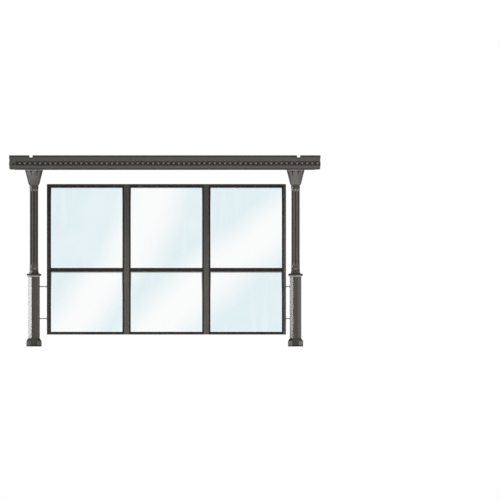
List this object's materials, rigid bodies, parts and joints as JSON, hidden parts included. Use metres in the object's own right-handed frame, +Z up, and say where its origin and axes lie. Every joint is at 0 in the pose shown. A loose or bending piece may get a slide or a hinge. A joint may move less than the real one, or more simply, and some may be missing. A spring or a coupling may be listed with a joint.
{
  "type": "bus shelter",
  "caption": "Open-fronted bus shelter: fluted octagonal posts carry a flat roof with a studded fascia, with framed glass screens across the back and at each end.",
  "frame": {"origin": "on the ground under the centre of the roof", "axes": "+X along the shelter to the right seen from the open front, +Y to the glazed back, +Z up"},
  "size_m": [4.05, 1.97, 2.486],
  "materials": {
    "post_paint": "semi-gloss warm dark grey paint on cast metal",
    "frame_paint": "satin warm dark grey paint",
    "bead_paint": "satin near-black paint",
    "roof_paint": "satin warm dark grey paint",
    "soffit_paint": "matt warm grey paint",
    "deck_sheet": "matt coated grey sheet",
    "tie_steel": "brushed round bar",
    "glass": "clear toughened sheet with a pale blue tint"
  },
  "bodies": {
    "root": {"front_left_foot": "post_paint", "front_left_pedestal": "post_paint", "front_left_collar": "post_paint", "front_left_shaft": "post_paint", "front_left_capital": "post_paint", "front_right_foot": "post_paint", "front_right_pedestal": "post_paint", "front_right_collar": "post_paint", "front_right_shaft": "post_paint", "front_right_capital": "post_paint", "back_left_foot": "post_paint", "back_left_pedestal": "post_paint", "back_left_collar": "post_paint", "back_left_shaft": "post_paint", "back_left_capital": "post_paint", "back_right_foot": "post_paint", "back_right_pedestal": "post_paint", "back_right_collar": "post_paint", "back_right_shaft": "post_paint", "back_right_capital": "post_paint", "back_left_stiles": "frame_paint", "back_left_rails": "frame_paint", "back_middle_stiles": "frame_paint", "back_middle_rails": "frame_paint", "back_right_stiles": "frame_paint", "back_right_rails": "frame_paint", "left_end_stiles": "frame_paint", "left_end_rails": "frame_paint", "right_end_stiles": "frame_paint", "right_end_rails": "frame_paint", "back_glazing_beads": "bead_paint", "back_glass": "glass", "back_tie_rods": "tie_steel", "left_end_glazing_beads": "bead_paint", "left_end_glass": "glass", "left_end_tie_rods": "tie_steel", "right_end_glazing_beads": "bead_paint", "right_end_glass": "glass", "right_end_tie_rods": "tie_steel", "front_fascia": "roof_paint", "back_fascia": "roof_paint", "left_fascia": "roof_paint", "right_fascia": "roof_paint", "roof_deck": "deck_sheet", "soffit": "soffit_paint"}
  },
  "joints": []
}
